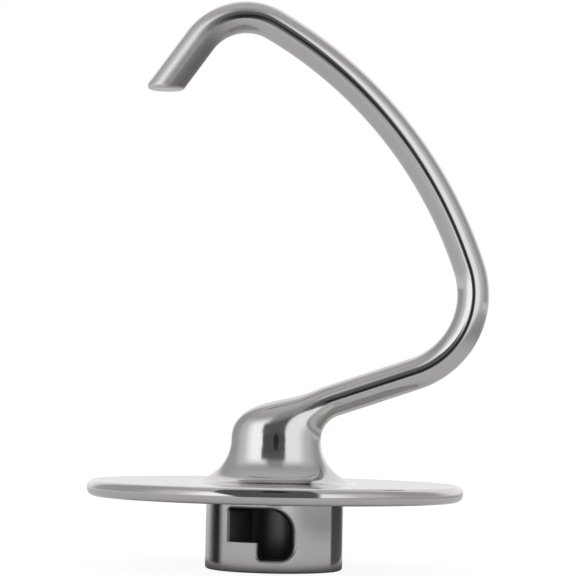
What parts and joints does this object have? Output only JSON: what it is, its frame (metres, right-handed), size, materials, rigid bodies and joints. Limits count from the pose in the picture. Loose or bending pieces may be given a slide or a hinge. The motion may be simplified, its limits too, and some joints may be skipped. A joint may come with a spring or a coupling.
{
  "type": "stand mixer dough hook",
  "caption": "Polished steel dough hook in one piece: C-shaped round bar on a flattened neck, drip disc and bored drive collar with a J-shaped bayonet window.",
  "frame": {"origin": "on the drive axis, at the foot face of the collar where the mixer's shaft goes in", "axes": "+Z along the drive axis from the collar toward the hook, +X toward the hook's elbow, -Y toward the bayonet window"},
  "size_m": [0.0991, 0.0932, 0.1419],
  "materials": {
    "polished_steel": "polished"
  },
  "bodies": {
    "root": {"dough_hook": "polished_steel"}
  },
  "joints": []
}
